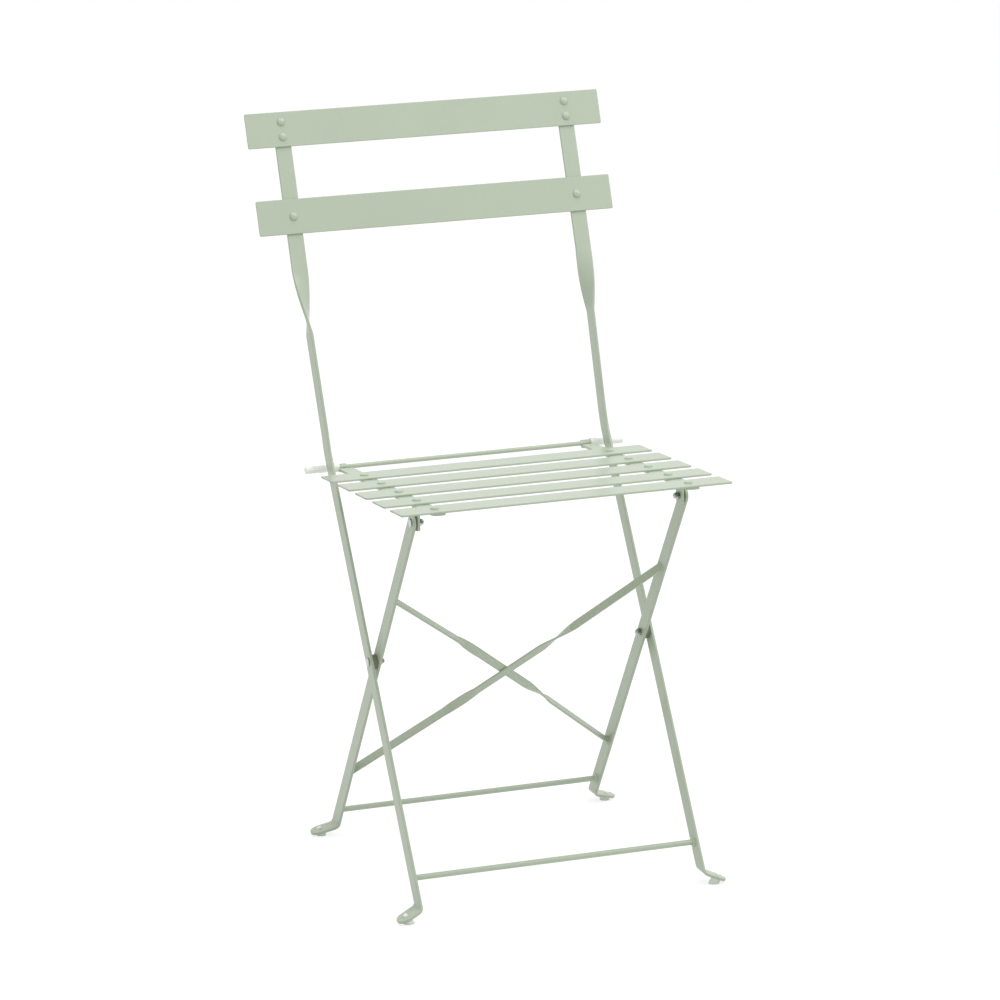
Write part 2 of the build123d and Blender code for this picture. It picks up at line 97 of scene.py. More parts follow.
# Rivets: radius of the shank, and rows of radius and depth in millimetres for the rolled ring behind it
RIVET_SHANK = 2.4 * MM
RIVET_TAIL = ((2.4, 0.0), (3.2, 0.0), (3.4, 0.35), (3.25, 0.72), (2.8, 0.95),
              (2.3, 1.0), (1.8, 0.9), (1.3, 0.62), (0.7, 0.42), (0.2, 0.36))

# How square a head is: one for the back's domes, less for the seat's flatter heads
DOME = 1.0
FLAT_HEAD = 0.6

# Welds: how much the ripples swell a bead and how much it wanders, as shares of its radius
RIPPLE_SHARE = 0.13
WANDER_SHARE = 0.05
WANDER_WAVES = 3

# The bead round a stretcher's end: radius of its loop, which is a plain circle, and its ripples
ROD_LOOP_RADIUS = 4.0 * MM
ROD_LOOP_POWER = 1.0
ROD_RIPPLES = 11

# The bead round a brace's end: its size as a share of the other's, how far its loop goes past the brace's
# edges, how square that loop is, and its ripples
BRACE_BEAD_SHARE = 0.75
BRACE_LOOP_MARGIN = 0.3 * MM
BRACE_LOOP_POWER = 0.7
BRACE_RIPPLES = 13

# How much light passes into nylon
NATURAL_MILKINESS = 0.2
BLACK_MILKINESS = 0.0

# Studio: the camera's sensor in millimetres, how far it sees, half the floor's side, and a plain white
SENSOR_WIDTH = 36.0
FAR_CLIP = 100.0
FLOOR_HALF = 30.0
WHITE = (1.0, 1.0, 1.0, 1.0)

# The seat's slats from front to back
SEAT_SLATS = [f"seat_slat_{place}" for place in range(1, 6)]


def length_value(label, description, millimetres):
    """A length that a user may change, given in millimetres and kept in metres."""
    return FloatProperty(name=label, description=description, default=millimetres * MM, min=0.0,
                         unit="LENGTH", precision=5)


def angle_value(label, description, degrees):
    """An angle that a user may change."""
    return FloatProperty(name=label, description=description, default=radians(degrees), subtype="ANGLE")


def colour_value(label, description, text):
    """A colour that a user may change, written as an sRGB hex value."""
    return StringProperty(name=label, description=description, default=text)


class ChairSizes(bpy.types.PropertyGroup):
    """Sizes of the chair's bars, slats, braces and fasteners."""
    bar_width: length_value("Bar width", "Width of the flat bars", 18.0)
    bar_thickness: length_value("Bar thickness", "Thickness of the flat bars", 3.0)
    edge: length_value("Edge radius", "Radius that rolling and coating leave on a bar's edges", 0.55)
    back_slat_width: length_value("Back slat width", "Width of the back's slats", 39.0)
    seat_slat_width: length_value("Seat slat width", "Width of the seat's slats", 38.0)
    slat_thickness: length_value("Slat thickness", "Thickness of the slats", 2.0)
    slat_corner: length_value("Slat corner", "Radius of a slat's corners", 1.8)
    long_low_angle: angle_value("Lower lean", "Lean of the long bars below the seat", 33.5)
    long_high_angle: angle_value("Upper lean", "Lean of the long bars above the seat", 22.0)
    short_angle: angle_value("Short lean", "Forward lean of the short bars", 32.0)
    seat_tilt: angle_value("Seat tilt", "Backward tilt of the seat", 5.0)
    long_bar_x: length_value("Long bar place", "Distance of a long bar from the middle", 163.0)
    short_bar_x: length_value("Short bar place", "Distance of a short bar from the middle", 154.5)
    rail_x: length_value("Rail place", "Distance of a seat rail from the middle", 143.2)
    rail_thickness: length_value("Rail thickness", "Thickness of the seat's rails", 2.5)
    crossing_to_bend: length_value("Crossing to bend", "From a long bar's pivot to its bend", 241.4)
    bend_radius: length_value("Bend radius", "Radius of the bend beside the seat", 80.0)
    bend_to_outward_run: length_value("Outward run", "From the bend to the outward run", 20.0)
    twist_length: length_value("Twist length", "Length of the quarter twist in a long bar", 70.0)
    upright_shift: length_value("Upright shift", "How far a long bar moves out up to its flat part", 4.0)
    flat_below_slat: length_value("Flat below slat", "Flat part of a long bar below the back slats", 42.0)
    rivet_spread: length_value("Rivet spread", "Between two rivets at the upper slat's end", 17.0)
    bar_end_past_rivet: length_value("Bar end", "How far a long bar goes past its highest rivet", 4.6)
    bar_end_corner: length_value("Bar end corner", "Radius of the corners at a long bar's top", 2.0)
    foot_bend_radius: length_value("Foot bend", "Inner radius of the bend at a foot", 5.0)
    front_tab_angle: angle_value("Front tab", "Slope of the front feet's tabs", 26.0)
    rear_tab_angle: angle_value("Rear tab", "Slope of the rear feet's tabs", 17.5)
    tab_clearance: length_value("Tab clearance", "Gap between a tab and the floor", 1.8)
    glide_from_bend: length_value("Glide place", "Distance of a glide from its foot's bend", 14.0)
    brace_width: length_value("Brace width", "Width of the braces", 10.0)
    brace_thickness: length_value("Brace thickness", "Thickness of the braces", 2.2)
    brace_drop: length_value("Brace drop", "From the crossing down to a brace's end", 183.0)
    front_brace_rise: length_value("Front brace rise", "From the crossing up to the front brace's end", 106.0)
    rear_brace_rise: length_value("Rear brace rise", "From the crossing up to the rear brace's end", 98.0)
    brace_bow: length_value("Brace bow", "How far a brace's middle lies off its straight line", 2.5)
    brace_gap: length_value("Brace gap", "Gap between the braces where they cross", 0.1)
    brace_twist: length_value("Brace twist", "Length of each quarter twist in a brace", 44.0)
    brace_upper_flat: length_value("Brace upper flat", "From a brace's upper end to its first twist", 117.0)
    brace_middle_flat: length_value("Brace middle flat", "Flat part between a brace's twists", 89.0)
    rivet_radius: length_value("Rivet head", "Radius of a rivet's head", 4.7)
    back_rivet_height: length_value("Back rivet height", "Height of a back rivet's dome", 2.7)
    seat_rivet_height: length_value("Seat rivet height", "Height of a seat rivet's flatter head", 1.9)
    weld_size: length_value("Weld size", "Radius of a weld bead", 1.5)


class ChairFinish(bpy.types.PropertyGroup):
    """Colours of the chair's finishes."""
    coat: colour_value("Coat", "Powder coat", "#B5C1AC")
    coat_light: colour_value("Coat, light", "Powder coat where it lies thick", "#BAC6B2")
    # Darker colour for the thin coat over the rounded edges, also used as painted shade on the bars' narrow
    # sides
    thin_coat_and_side_shade: colour_value("Coat, edges", "Powder coat where it is drawn thin over an edge", "#9AA68F")
    nylon: colour_value("Nylon", "Glides and sleeves", "#FBFDF8")
    nylon_shade: colour_value("Nylon, shaded", "Flow marks in the nylon", "#F5F8F1")
    # Painted reflection of the fasteners: the bright zinc shows on the ends and undersides, the dark olive
    # grey on the sides
    zinc: colour_value("Zinc", "Burnished ends of the plated bolts and nuts", "#CDD2D6")
    zinc_dull: colour_value("Zinc, dull", "Plating where it has dulled", "#B2B8BA")
    zinc_painted_dark_reflection: colour_value("Zinc, sides", "Thin plating on the sides of heads and nuts", "#7E8779")
    # Painted shade: the spacers are coloured the dark green-grey of the shaded gap between the crossing bars
    painted_gap_shade: colour_value("Spacer", "Black nylon between the bars, greyed by light", "#77816A")
    painted_gap_shade_flow: colour_value("Spacer, shaded", "Flow marks in the black nylon", "#6C765F")
    floor: colour_value("Floor", "Studio floor", "#F0F0EE")


class ChairStudio(bpy.types.PropertyGroup):
    """Camera and light of the studio."""
    lens: FloatProperty(name="Lens", description="Focal length in millimetres", default=179.58)
    camera_place: FloatVectorProperty(name="Camera place", description="Where the camera stands",
                                      subtype="XYZ", unit="LENGTH", default=(-1.85328, -4.91215, 1.83339))
    camera_turn: FloatVectorProperty(name="Camera turn", description="The camera's Euler angles",
                                     subtype="EULER",
                                     default=(radians(74.6574), radians(0.1286), radians(-20.7724)))
    camera_shift: FloatVectorProperty(name="Camera shift", description="Shift of the picture", size=2,
                                      precision=5, default=(0.00047, 0.00259))
    lamp_aim: FloatVectorProperty(name="Lamp aim", description="What both lamps point at",
                                  subtype="XYZ", unit="LENGTH", default=(0.0, 0.0, 0.42))
    top_place: FloatVectorProperty(name="Top place", description="Where the lamp overhead hangs",
                                   subtype="XYZ", unit="LENGTH", default=(0.0, -0.3, 3.6))
    top_size: FloatProperty(name="Top size", description="Width of the lamp overhead",
                            unit="LENGTH", default=2.6)
    top_power: FloatProperty(name="Top light", description="Power of the lamp overhead",
                             unit="POWER", default=38.0)
    key_place: FloatVectorProperty(name="Key place", description="Where the lamp on the right stands",
                                   subtype="XYZ", unit="LENGTH", default=(2.4, -1.6, 3.4))
    key_size: FloatProperty(name="Key size", description="Width of the lamp on the right",
                            unit="LENGTH", default=1.6)
    key_power: FloatProperty(name="Key light", description="Power of the lamp on the right",
                             unit="POWER", default=36.0)
    room_light: FloatProperty(name="Room light", description="Light from all round", default=0.63)
    floor_glow: FloatProperty(name="Floor glow", description="White that the camera sees under the shadows",
                              default=0.77)
    floor_veil: FloatProperty(name="Floor veil", description="How much of the shadows the camera sees",
                              default=0.34)


# Shapes

def lean_up(angle):
    """Unit vector that rises while it leans to the back by an angle from the vertical."""
    return np.array([0.0, sin(angle), cos(angle)])


def unit(vector):
    """A vector of length one."""
    return vector / np.linalg.norm(vector)


def rear_of(up):
    """Unit vector to the rear, square to a bar that runs along up."""
    return np.cross(up, ACROSS)


def pivot(joint_name):
    """Place of a joint of the frame."""
    return np.array(next(joint["pos_m"] for joint in frame["joints"] if joint["name"] == joint_name))


def node_middle(node_name):
    """Middle of a node's box."""
    low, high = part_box(node_name)
    return (np.array(low) + np.array(high)) / 2


def inset(distance, radius):
    """How far a rounded corner lies inside its outline: r - sqrt(r^2 - (r - d)^2), d away from the end."""
    short = radius - np.minimum(distance, radius)
    return radius - np.sqrt(radius ** 2 - short ** 2)


def end_distances(*radii):
    """Distances from an end that follow each rounding r there, d = r (1 - cos t)."""
    turn = np.linspace(0.0, pi / 2, ROUND_STEPS)
    return np.unique(np.concatenate([radius * (1 - np.cos(turn)) for radius in radii]))


def spaced(start, stop):
    """Even steps from start to stop, no longer than the longest step of a straight part."""
    return np.linspace(start, stop, max(2, int(np.ceil(abs(stop - start) / STRAIGHT_STEP)) + 1))


def stations(centre, wide, thick):
    """Centres and half sides of sections as (n, 3) arrays, each given whole or as one vector for all."""
    return [np.broadcast_to(array, centre.shape) for array in (centre, wide, thick)]


def join(*parts):
    """One run of stations from several that follow each other."""
    return [np.concatenate(arrays) for arrays in zip(*parts)]


def carry(run, edge, side_shade_share=0.0):
    """Carries a flat bar's section along a run of stations: its (n, m, 3) grid and the weight of its edges.

    Section i is a rectangle with half sides a and b along the unit vectors w and k. Each corner is a quarter
    circle of radius e: point = centre + w (sx (a - e) + e cos t) + k (sy (b - e) + e sin t).
    A short straight step stands on each side of every quarter, so that the flats shade flat. The weight is
    one in the middle of a quarter, where the coat is drawn thin, and on the narrow sides it is the share of
    painted shade given as the last argument.
    """
    centre, wide, thick = run
    a = np.linalg.norm(wide, axis=1)[:, None]
    b = np.linalg.norm(thick, axis=1)[:, None]
    e = np.minimum(edge, EDGE_SHARE * np.minimum(a, b))
    turn = np.linspace(0.0, pi / 2, EDGE_STEPS + 1)
    turn = np.concatenate([turn[:1], turn, turn[-1:]])
    slide = np.zeros(len(turn))
    slide[[0, -1]] = -1, 1
    angle = (np.arange(4)[:, None] * pi / 2 + turn).ravel()
    step = STEP_SHARE * e * np.tile(slide, 4)
    sign_wide = np.repeat([1, -1, -1, 1], len(turn))
    sign_thick = np.repeat([1, 1, -1, -1], len(turn))
    along_wide = sign_wide * (a - e) + e * np.cos(angle) - step * np.sin(angle)
    along_thick = sign_thick * (b - e) + e * np.sin(angle) + step * np.cos(angle)
    grid = centre[:, None] + (wide / a)[:, None] * along_wide[..., None]
    grid = grid + (thick / b)[:, None] * along_thick[..., None]
    weight = np.maximum(np.tile(np.sin(2 * turn), 4), side_shade_share * np.cos(angle) ** 2)
    return grid, np.broadcast_to(weight, grid.shape[:2])


def round_end(centre, out, side, top, radius, half_thickness, edge):
    """Stations of a bar's round end, from its tip inwards: they reach r sin t out and r cos t aside."""
    turn = np.linspace(TIP_ANGLE, 0.0, ROUND_STEPS)[:, None]
    thin = half_thickness - inset(radius * (1 - np.sin(turn)), edge)
    return stations(centre + out * radius * np.sin(turn), side * radius * np.cos(turn), top * thin)


def foot(up, bar_x, tab_angle, crossing, sizes):
    """Stations of a foot, from the tab's round tip along the tab and round the bend to the straight bar.

    The bend turns about a level line, so its sections run along Y and reach the bar's edges at a slant.
    Also gives the point in the middle plane where the straight bar starts.
    """
    half = sizes.bar_thickness / 2
    half_cut = sizes.bar_width / up[2] / 2
    radius = sizes.foot_bend_radius + half
    run = ACROSS * cos(tab_angle) - up * sin(tab_angle)
    top = unit(np.cross(run, BACK))
    side = np.cross(top, run)
    half_width = half_cut * sqrt(1 - run[1] ** 2)
    height = sizes.tab_clearance + half_width * sqrt(1 - top[2] ** 2) + half * top[2]
    height += radius * cos(tab_angle) * up[2] - sizes.glide_from_bend * run[2]
    start = crossing + up * ((height - crossing[2]) / up[2])
    bend_end = start + ACROSS * (bar_x + radius * (1 - sin(tab_angle))) - up * (radius * cos(tab_angle))
    glide = bend_end + run * sizes.glide_from_bend
    tip = round_end(glide, run, side, top, half_width, half, sizes.edge)
    out = np.linspace(sizes.glide_from_bend, 0.0, TAB_STEPS)[1:, None]
    slant = run * half_cut * run[1] * (1 - out / sizes.glide_from_bend)
    tab = stations(bend_end + run * out, side * half_width + slant, top * half)
    turn = np.linspace(pi / 2 - tab_angle, 0.0, BEND_STEPS)[1:, None]
    centre = start + ACROSS * (bar_x + radius * (1 - np.cos(turn))) - up * (radius * np.sin(turn))
    square = np.cross(ACROSS * np.sin(turn) - up * np.cos(turn), BACK)
    bend = stations(centre, BACK * half_cut, half * square / np.linalg.norm(square, axis=1)[:, None])
    rise = np.linspace(0.0, sizes.bar_width, SQUARING_STEPS)[1:, None]
    slant = up * half_cut * up[1] * (1 - rise / sizes.bar_width)
    wide = rear_of(up) * sizes.bar_width / 2 + slant
    squaring = stations(start + ACROSS * bar_x + up * rise, wide, ACROSS * half)
    return join(tip, tab, bend, squaring), start


def long_bar(sizes):
    """Grid of the right long bar: foot, straight, bend beside the seat, quarter twist and flat upright."""
    half_width, half = sizes.bar_width / 2, sizes.bar_thickness / 2
    crossing = pivot("leg_fold")
    low, high = lean_up(sizes.long_low_angle), lean_up(sizes.long_high_angle)
    place = ACROSS * sizes.long_bar_x
    low_foot, start = foot(low, sizes.long_bar_x, sizes.front_tab_angle, crossing, sizes)
    bend = crossing + low * sizes.crossing_to_bend
    tangent = sizes.bend_radius * tan((sizes.long_low_angle - sizes.long_high_angle) / 2)
    up = spaced(sizes.bar_width, np.linalg.norm(bend - start) - tangent)[1:-1, None]
    straight = stations(place + start + low * up, rear_of(low) * half_width, ACROSS * half)
    lean = np.linspace(sizes.long_low_angle, sizes.long_high_angle, BEND_STEPS)[:, None]
    rear = np.concatenate([0 * lean, np.cos(lean), -np.sin(lean)], axis=1)
    middle = place + bend - low * tangent - rear_of(low) * sizes.bend_radius
    knee = stations(middle + rear * sizes.bend_radius, rear * half_width, ACROSS * half)
    slat_up = (node_middle("lower_back_slat") - bend) @ high
    upright_up = slat_up - sizes.back_slat_width / 2 - sizes.flat_below_slat
    twist_up = upright_up - sizes.twist_length
    run_up = sizes.bend_to_outward_run
    outwards = ACROSS * sizes.upright_shift / (upright_up - run_up)
    up = np.concatenate([spaced(tangent, run_up)[1:], spaced(run_up, twist_up)[1:-1]])[:, None]
    above = stations(place + bend + high * up + outwards * np.maximum(up - run_up, 0),
                     rear_of(high) * half_width, ACROSS * half)
    way = np.linspace(0.0, 1.0, TWIST_STEPS)[:, None]
    turn = way * pi / 2
    up = twist_up + sizes.twist_length * way
    twist = stations(place + bend + high * up + outwards * (up - run_up),
                     (rear_of(high) * np.cos(turn) - ACROSS * np.sin(turn)) * half_width,
                     (ACROSS * np.cos(turn) + rear_of(high) * np.sin(turn)) * half)
    rivet_up = (node_middle("upper_back_slat") - bend) @ high + sizes.rivet_spread / 2
    top_up = rivet_up + sizes.bar_end_past_rivet
    from_end = end_distances(sizes.edge, sizes.bar_end_corner)[::-1]
    body = spaced(upright_up, top_up - sizes.bar_end_corner)[1:-1]
    up = np.concatenate([body, top_up - from_end])[:, None]
    wide = half_width - inset(top_up - up, sizes.bar_end_corner) - inset(top_up - up, sizes.edge)
    upright = stations(place + bend + high * up + ACROSS * sizes.upright_shift, -ACROSS * wide,
                       rear_of(high) * (half - inset(top_up - up, sizes.edge)))
    return carry(join(low_foot, straight, knee, above, twist, upright), sizes.edge, NARROW_SIDE_SHADE)


def short_bar(sizes):
    """Grid of the right short bar: foot, straight and the round end at the seat's pivot."""
    half_width, half = sizes.bar_width / 2, sizes.bar_thickness / 2
    up = lean_up(-sizes.short_angle)
    place = ACROSS * sizes.short_bar_x
    low_foot, start = foot(up, sizes.short_bar_x, sizes.rear_tab_angle, pivot("leg_fold"), sizes)
    seat_pivot = pivot("seat_fold")
    rise = spaced(sizes.bar_width, np.linalg.norm(seat_pivot - start))[1:-1, None]
    straight = stations(place + start + up * rise, rear_of(up) * half_width, ACROSS * half)
    end = round_end(place + seat_pivot, up, rear_of(up), ACROSS, half_width, half, sizes.edge)
    return carry(join(low_foot, straight, [array[::-1] for array in end]), sizes.edge, NARROW_SIDE_SHADE)


def brace_line(upper_side, rise, sizes):
    """Upper end, axis and length of a brace between the inner faces of the short bars."""
    up = lean_up(-sizes.short_angle)
    reach = ACROSS * upper_side * (sizes.short_bar_x - sizes.bar_thickness / 2)
    upper = pivot("leg_fold") + up * rise + reach
    lower = pivot("leg_fold") - up * sizes.brace_drop - reach
    return upper, unit(lower - upper), np.linalg.norm(lower - upper)


def brace(upper_side, rise, facing, sizes):
    """Grid of a brace: its ends stand square to the legs' plane, its middle lies flat, with twists between.

    The section turns by t = 0, 0 to 90, 90, 90 to 180 and 180 degrees over the five parts. The line leaves
    the straight one by a kink whose share grows from each end to the twists.
    """
    upper, axis, length = brace_line(upper_side, rise, sizes)
    front = -rear_of(lean_up(-sizes.short_angle))
    first = sizes.brace_upper_flat + sizes.brace_twist / 2
    second = first + sizes.brace_middle_flat + sizes.brace_twist
    kink = front * (facing * (sizes.brace_thickness + sizes.brace_gap) / 2)
    kink = kink - np.cross(axis, front) * (facing * upper_side * sizes.brace_bow)
    stops = [0.0, first - sizes.brace_twist / 2, first + sizes.brace_twist / 2,
             second - sizes.brace_twist / 2, second + sizes.brace_twist / 2, length]
    shares = [min(1.0, stop / first, (length - stop) / (length - second)) for stop in stops]
    parts = []
    for part in range(len(stops) - 1):
        twisting = part % 2
        way = np.linspace(0.0, 1.0, TWIST_STEPS if twisting else BRACE_FLAT_STEPS)[1 if part else 0:, None]
        along = stops[part] + (stops[part + 1] - stops[part]) * way
        share = shares[part] + (shares[part + 1] - shares[part]) * way
        turn = pi / 2 * (part // 2 + twisting * way)
        wide = front * np.cos(turn) + np.cross(axis, front) * np.sin(turn)
        parts.append(stations(upper + axis * along + kink * share, wide * sizes.brace_width / 2,
                              np.cross(axis, wide) * sizes.brace_thickness / 2))
    grid, weight = carry(join(*parts), sizes.edge)
    for end, x in ((0, upper[0]), (-1, -upper[0])):
        grid[end] += axis * ((x - grid[end, :, :1]) / axis[0])
    return grid, weight


def slat(middle, up, width, length, sizes):
    """Grid of a slat: a flat section carried across, whose half width follows the round corners."""
    from_end = end_distances(sizes.edge, sizes.slat_corner)
    half_length = length / 2
    body = spaced(-half_length + sizes.slat_corner, half_length - sizes.slat_corner)[1:-1]
    x = np.concatenate([-half_length + from_end, body, half_length - from_end[::-1]])[:, None]
    distance = half_length - np.abs(x)
    wide = width / 2 - inset(distance, sizes.slat_corner) - inset(distance, sizes.edge)
    thin = sizes.slat_thickness / 2 - inset(distance, sizes.edge)
    return carry(stations(middle + ACROSS * x, rear_of(up) * wide, up * thin), sizes.edge)


def turned(profile, middle, axis, across):
    """Turns rows of radius and height about an axis: point = middle + r (c cos u + s sin u) + h axis."""
    radius, height = np.array(profile).T[..., None]
    angle = np.linspace(0.0, 2 * pi, LATHE_STEPS, endpoint=False)
    ring = across * np.cos(angle)[:, None] + np.cross(axis, across) * np.sin(angle)[:, None]
    return middle + radius[..., None] * ring + height[..., None] * axis


def rivet(face, up, height, power, depth, sizes):
    """Grid of a rivet: head on a face, shank through a depth, and a rolled ring with a dimple behind it.

    The head's half width is r (sin t)^p at the level h (cos t)^p: a dome at p = 1, flatter with steep sides
    for a smaller p.
    """
    turn = np.linspace(0.0, pi / 2, HEAD_STEPS + 1)[1:]
    head = np.stack([sizes.rivet_radius * np.sin(turn) ** power, height * np.cos(turn) ** power], axis=1)
    shank = np.array([[RIVET_SHANK, 0.0]])
    tail = np.array(RIVET_TAIL) * [MM, -MM] - [0.0, depth]
    return turned(np.concatenate([head, shank, tail]), face, up, ACROSS)


def bead(loop, outward, size, ripples, phase):
    """Grid of a weld bead round a closed loop: a circle carried along it, whose radius swells in ripples.

    radius = size (1 + a cos(k u + p) + b cos(n u)), for u from 0 to a whole turn along the loop, with the
    shares a of the k ripples and b of the n waves of its wander.
    """
    u = np.linspace(0.0, 2 * pi, len(loop), endpoint=False)[:, None, None]
    v = np.linspace(0.0, 2 * pi, BEAD_STEPS, endpoint=False)[None, :, None]
    radius = size * (1 + RIPPLE_SHARE * np.cos(ripples * u + phase) + WANDER_SHARE * np.cos(WANDER_WAVES * u))
    ahead = np.roll(loop, -1, axis=0) - np.roll(loop, 1, axis=0)
    side = np.cross(ahead / np.linalg.norm(ahead, axis=1)[:, None], outward)
    return loop[:, None] + radius * (np.cos(v) * side[:, None] + np.sin(v) * outward)


def oval(middle, first, second, power):
    """Closed loop: point = middle + first |cos u|^p + second |sin u|^p, with the signs of the waves."""
    u = np.linspace(0.0, 2 * pi, LOOP_STEPS, endpoint=False)[:, None]
    return middle + sum(vector * np.sign(wave) * np.abs(wave) ** power
                        for vector, wave in ((first, np.cos(u)), (second, np.sin(u))))


# Pieces

def grid_faces(grid, offset, closed):
    """Quads of a grid that closes round its second direction, and the triangles that fan over its two ends.

    They are turned so that they face outwards, which makes the volume that they enclose positive.
    """
    rows, columns = grid.shape[:2]
    index = np.arange(rows * columns).reshape(rows, columns)
    if closed:
        index = np.concatenate([index, index[:1]])
    beside = np.roll(index, -1, axis=1)
    quads = np.stack([index[:-1], beside[:-1], beside[1:], index[1:]], axis=-1).reshape(-1, 4)
    fans = np.zeros((0, 3), int)
    points = grid.reshape(-1, 3)
    if not closed:
        ends = np.stack([grid[0].mean(axis=0), grid[-1].mean(axis=0)])
        first, last = np.full(columns, rows * columns), np.full(columns, rows * columns + 1)
        fans = np.concatenate([np.stack([beside[0], index[0], first], axis=-1),
                               np.stack([index[-1], beside[-1], last], axis=-1)])
        points = np.concatenate([points, ends])
    triangles = np.concatenate([quads[:, :3], quads[:, [0, 2, 3]], fans])
    a, b, c = (points[triangles[:, corner]] for corner in range(3))
    if np.einsum("ij,ij->", a, np.cross(b, c)) < 0:
        quads, fans = quads[:, ::-1], fans[:, ::-1]
    return points, (quads + offset).tolist() + (fans + offset).tolist()


def add_piece(name, shapes, material, body, nodes=(), closed=False):
    """Adds one object of several grids, each with the weight of its edges.

    It rides on a body, shows the finish that it is given, and stands for the nodes of the frame that it
    hides.
    """
    points, faces, weights, offset = [], [], [], 0
    for grid, weight in shapes:
        grid_points, grid_part = grid_faces(grid, offset, closed)
        points.append(grid_points)
        faces += grid_part
        weights.append(np.pad(weight.ravel(), (0, len(grid_points) - weight.size)))
        offset += len(grid_points)
    mesh = bpy.data.meshes.new(name)
    mesh.from_pydata(np.concatenate(points).tolist(), [], faces)
    mesh.attributes.new("thin_coat_and_side_shade", "FLOAT", "POINT").data.foreach_set("value", np.concatenate(weights))
    mesh.shade_smooth()
    mesh.set_sharp_from_angle(angle=SHARP_ANGLE)
    mesh.materials.append(material)
    piece = bpy.data.objects.new(name, mesh)
    bpy.context.scene.collection.objects.link(piece)
    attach(piece, body)
    if nodes:
        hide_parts(*nodes)
    return piece


def mirrored(shape, side):
    """A shape on the right-hand side, or the same one on the left."""
    grid, weight = shape
    return grid * [side, 1, 1], weight


def plain(grid):
    """A grid with no thin-coated edges and no painted shade."""
    return grid, np.zeros(grid.shape[:2])


def dress(material, *node_names):
    """Gives nodes of the frame their finish."""
    for name in node_names:
        mesh = frame["nodes"][name].data
        mesh.materials.clear()
        mesh.materials.append(material)


# Finishes

def linear(text):
    """Linear RGBA of an sRGB hex value."""
    value = np.array([int(text[place:place + 2], 16) for place in (1, 3, 5)]) / 255
    value = np.where(value <= 0.04045, value / 12.92, ((value + 0.055) / 1.055) ** 2.4)
    return (*value.tolist(), 1.0)


def add_node(tree, kind, values=None, links=None, **settings):
    """Adds a node: settings go on the node, values on its sockets, and links join sockets to outputs."""
    node = tree.nodes.new(kind)
    for name, value in settings.items():
        setattr(node, name, value)
    for name, value in (values or {}).items():
        node.inputs[name].default_value = value
    for name, socket in (links or {}).items():
        tree.links.new(socket, node.inputs[name])
    return node


def new_finish(name):
    """An empty material and its node tree."""
    material = bpy.data.materials.new(name)
    material.use_nodes = True
    material.node_tree.nodes.clear()
    return material, material.node_tree


def per_metre(millimetres):
    """Scale of a noise whose bumps are that many millimetres apart."""
    return 1.0 / (millimetres * MM)


def baked_powder_coat():
    """Polyester powder coat, sprayed and baked on steel.

    It flows into a fine orange peel, gives a satin sheen, and is drawn thin over the edges.
    """
    if "baked_powder_coat" in bpy.data.materials:
        return bpy.data.materials["baked_powder_coat"]
    finish = bpy.context.scene.chair_finish
    material, tree = new_finish("baked_powder_coat")
    place = add_node(tree, "ShaderNodeTexCoord").outputs["Object"]
    # Thicker and thinner passes of the spray gun, about 70 mm apart
    passes = add_node(tree, "ShaderNodeTexNoise", {"Scale": per_metre(70), "Detail": 2.0, "Roughness": 0.5},
                      {"Vector": place})
    # Orange peel: real waves are 1 to 2 mm long, drawn at 1.8 mm so that they show
    peel = add_node(tree, "ShaderNodeTexNoise", {"Scale": per_metre(1.8), "Detail": 2.0, "Roughness": 0.45},
                    {"Vector": place})
    # Powder grain that did not flow out, drawn at 0.6 mm
    grain = add_node(tree, "ShaderNodeTexNoise", {"Scale": per_metre(0.6), "Detail": 1.0},
                     {"Vector": place})
    # Darker where the coat is drawn thin over the rounded edges, and painted shade over the bars' narrow
    # sides
    edge = add_node(tree, "ShaderNodeAttribute", attribute_name="thin_coat_and_side_shade", attribute_type="GEOMETRY")
    tone = add_node(tree, "ShaderNodeMix", {"A": linear(finish.coat), "B": linear(finish.coat_light)},
                    {"Factor": passes.outputs["Fac"]}, data_type="RGBA")
    thin = add_node(tree, "ShaderNodeMath", {1: 0.55}, {0: edge.outputs["Fac"]}, operation="MULTIPLY")
    colour = add_node(tree, "ShaderNodeMix", {"B": linear(finish.thin_coat_and_side_shade)},
                      {"Factor": thin.outputs[0], "A": tone.outputs["Result"]}, data_type="RGBA")
    gloss = add_node(tree, "ShaderNodeMapRange", {"To Min": 0.24, "To Max": 0.36},
                     {"Value": peel.outputs["Fac"]})
    fine = add_node(tree, "ShaderNodeBump", {"Strength": 0.25, "Distance": 0.01 * MM},
                    {"Height": grain.outputs["Fac"]})
    wavy = add_node(tree, "ShaderNodeBump", {"Strength": 0.6, "Distance": 0.05 * MM},
                    {"Height": peel.outputs["Fac"], "Normal": fine.outputs["Normal"]})
    shader = add_node(tree, "ShaderNodeBsdfPrincipled", {"IOR": 1.5},
                      {"Base Color": colour.outputs["Result"], "Roughness": gloss.outputs["Result"],
                       "Normal": wavy.outputs["Normal"]})
    add_node(tree, "ShaderNodeOutputMaterial", links={"Surface": shader.outputs["BSDF"]})
    return material


